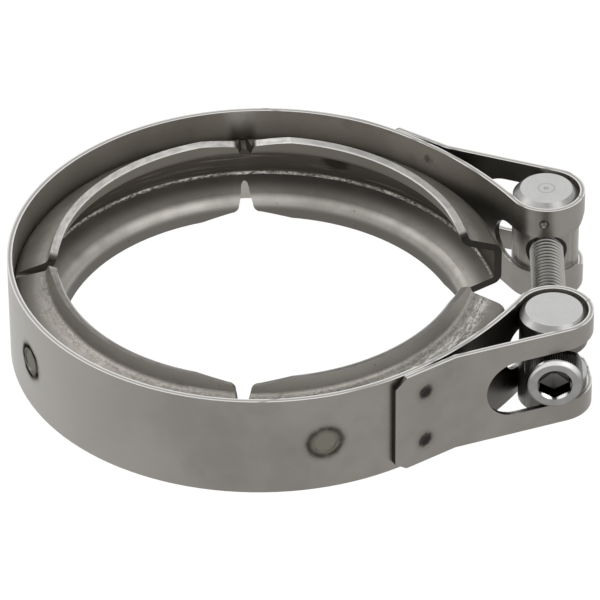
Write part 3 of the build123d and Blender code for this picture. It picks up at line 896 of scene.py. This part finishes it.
def add_loops(mesh, loops):
    """Closed skin over a list of loops of points, all of one length."""
    rings = [[mesh.verts.new(point) for point in loop] for loop in loops]
    for ring, following in zip(rings, rings[1:]):
        for index in range(len(ring)):
            after = (index + 1) % len(ring)
            mesh.faces.new((ring[index], ring[after], following[after], following[index]))
    mesh.faces.new(rings[0][::-1])
    mesh.faces.new(rings[-1])


def hexagon_radius(angle):
    """Radius of the socket at an angle, with corners towards +Z and -Z."""
    from_flat = (angle + math.pi / 6) % (math.pi / 3) - math.pi / 6
    return SOCKET_FLAT_RADIUS / math.cos(from_flat)


def add_head(mesh):
    """Knurled head with its rounded rim, its hexagon socket and the face under it."""
    steps = KNURL_COUNT * KNURL_STEPS
    angles = [2 * math.pi * index / steps for index in range(steps)]

    def circle(y, radius):
        return [screw_point(y, radius, angle) for angle in angles]

    def knurled(y):
        loop = []
        for index, angle in enumerate(angles):
            share = 0.5 + 0.5 * math.cos(2 * math.pi * index / KNURL_STEPS)
            loop.append(screw_point(y, HEAD_RADIUS - KNURL_DEPTH * (1 - share), angle))
        return loop

    def hexagon(y, share=1.0):
        return [screw_point(y, share * hexagon_radius(angle), angle) for angle in angles]

    floor_y = SCREW_FACE_Y + SOCKET_FLOOR_DEPTH
    loops = [
        hexagon(floor_y + SOCKET_FLOOR_DROP, SOCKET_POINT_SHARE),
        hexagon(floor_y),
        hexagon(SCREW_FACE_Y + SOCKET_MOUTH_DEPTH),
        circle(SCREW_FACE_Y, SOCKET_MOUTH_RADIUS),
    ]
    for part in range(HEAD_RIM_STEPS + 1):
        turn = math.radians(90 * part / HEAD_RIM_STEPS)
        radius = HEAD_RADIUS - HEAD_RIM_INSET - HEAD_RIM_RADIUS * (1 - math.sin(turn))
        loops.append(circle(SCREW_FACE_Y + HEAD_RIM_RADIUS * (1 - math.cos(turn)), radius))
    loops += [
        knurled(SCREW_FACE_Y + HEAD_RIM_RADIUS + KNURL_FROM_RIM),
        knurled(SEAT_Y - KNURL_FROM_SEAT),
        circle(SEAT_Y - HEAD_CHAMFER, HEAD_RADIUS - HEAD_CHAMFER_INSET),
        circle(SEAT_Y, HEAD_RADIUS - HEAD_CHAMFER),
        circle(SEAT_Y, SEAT_INNER_RADIUS),
    ]
    add_loops(mesh, loops)


def make_screw():
    """The detailed screw as one object of two closed skins, the shank and the head."""
    shank = bmesh.new()
    add_thread(shank)
    cut_ends(shank, SEAT_Y - SHANK_OVERLAP, SCREW_TIP_Y)
    head = bmesh.new()
    add_head(head)
    whole = bmesh.new()
    for part in (shank, head):
        piece = bpy.data.meshes.new("screw_part")
        bmesh.ops.recalc_face_normals(part, faces=part.faces[:])
        part.to_mesh(piece)
        whole.from_mesh(piece)
        bpy.data.meshes.remove(piece)
        part.free()
    mesh = bpy.data.meshes.new("screw_detailed")
    whole.to_mesh(mesh)
    whole.free()
    mesh.materials.append(screw_steel())
    return add_object("screw_detailed", mesh)


screw = make_screw()
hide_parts("clamp_screw")
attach(screw, "screw")


def make_camera():
    """Camera at the photograph's angle, from the fitted azimuth, elevation, roll and distance."""
    azimuth = math.radians(CAMERA_AZIMUTH)
    elevation = math.radians(CAMERA_ELEVATION)
    roll = math.radians(CAMERA_ROLL)
    forward = Vector((
        -math.sin(azimuth) * math.cos(elevation),
        math.cos(azimuth) * math.cos(elevation),
        -math.sin(elevation),
    ))
    right = Vector((math.cos(azimuth), math.sin(azimuth), 0))
    up = right.cross(forward)
    target = AIM_RIGHT * right + AIM_UP * up
    rolled_right = math.cos(roll) * right + math.sin(roll) * up
    rolled_up = -math.sin(roll) * right + math.cos(roll) * up
    data = bpy.data.cameras.new("camera")
    data.sensor_width = SENSOR_WIDTH
    data.lens = FOCAL_PIXELS / IMAGE_PIXELS * SENSOR_WIDTH
    data.clip_start = CLIP_START_M
    data.clip_end = CLIP_END_M
    camera = add_object("camera", data)
    turn = Matrix((rolled_right, rolled_up, -forward)).transposed().to_4x4()
    camera.matrix_world = Matrix.Translation((target - CAMERA_DISTANCE * forward) * MM) @ turn
    bpy.context.scene.camera = camera


def shows_white(nodes, links):
    """One where the ray is a camera, glossy or transmission ray."""
    path = nodes.new("ShaderNodeLightPath")
    total = path.outputs["Is Camera Ray"]
    for name in ("Is Glossy Ray", "Is Transmission Ray"):
        node = nodes.new("ShaderNodeMath")
        node.operation = "MAXIMUM"
        links.new(total, node.inputs[0])
        links.new(path.outputs[name], node.inputs[1])
        total = node.outputs[0]
    return total


def make_world():
    """White to the camera and in the metal, and a plain soft light for the rest."""
    world = bpy.data.worlds.new("studio")
    bpy.context.scene.world = world
    world.use_nodes = True
    nodes = world.node_tree.nodes
    links = world.node_tree.links
    background = nodes["Background"]
    background.inputs["Color"].default_value = (1, 1, 1, 1)
    strength = nodes.new("ShaderNodeMapRange")
    links.new(shows_white(nodes, links), strength.inputs["Value"])
    strength.inputs["To Min"].default_value = WORLD_LIGHT
    strength.inputs["To Max"].default_value = 1.0
    links.new(strength.outputs["Result"], background.inputs["Strength"])


def make_floor():
    """Pale floor under the band's lower edge, which glows white to the camera and in the metal."""
    mesh = bpy.data.meshes.new("floor")
    corners = [(-1, -1), (1, -1), (1, 1), (-1, 1)]
    points = [(FLOOR_REACH_M * x, FLOOR_REACH_M * y, cad_low.z) for x, y in corners]
    mesh.from_pydata(points, [], [(0, 1, 2, 3)])
    floor = add_object("floor", mesh)
    material = bpy.data.materials.new("floor_white")
    material.use_nodes = True
    nodes = material.node_tree.nodes
    links = material.node_tree.links
    diffuse = nodes["Principled BSDF"]
    diffuse.inputs["Base Color"].default_value = FLOOR_TONE
    diffuse.inputs["Roughness"].default_value = 1.0
    diffuse.inputs["Specular IOR Level"].default_value = 0.0
    glow = nodes.new("ShaderNodeEmission")
    glow.inputs["Strength"].default_value = FLOOR_GLOW
    share = nodes.new("ShaderNodeMath")
    share.operation = "MULTIPLY"
    share.inputs[1].default_value = FLOOR_GLOW_SHARE
    blend = nodes.new("ShaderNodeMixShader")
    links.new(shows_white(nodes, links), share.inputs[0])
    links.new(share.outputs[0], blend.inputs[0])
    links.new(diffuse.outputs[0], blend.inputs[1])
    links.new(glow.outputs[0], blend.inputs[2])
    links.new(blend.outputs[0], nodes["Material Output"].inputs["Surface"])
    mesh.materials.append(material)


def add_lamp(name, place, power):
    """Square lamp that faces the middle of the ring."""
    data = bpy.data.lights.new(name, "AREA")
    data.shape = "RECTANGLE"
    data.size = LAMP_SIZE_M
    data.size_y = LAMP_SIZE_M
    data.energy = power
    lamp = add_object(name, data)
    lamp.location = place
    lamp.rotation_euler = (-Vector(place)).to_track_quat("-Z", "Y").to_euler()


make_camera()
make_world()
make_floor()
add_lamp("key", KEY_PLACE_M, KEY_POWER)
add_lamp("fill", FILL_PLACE_M, FILL_POWER)

bpy.context.scene.view_settings.view_transform = "Standard"
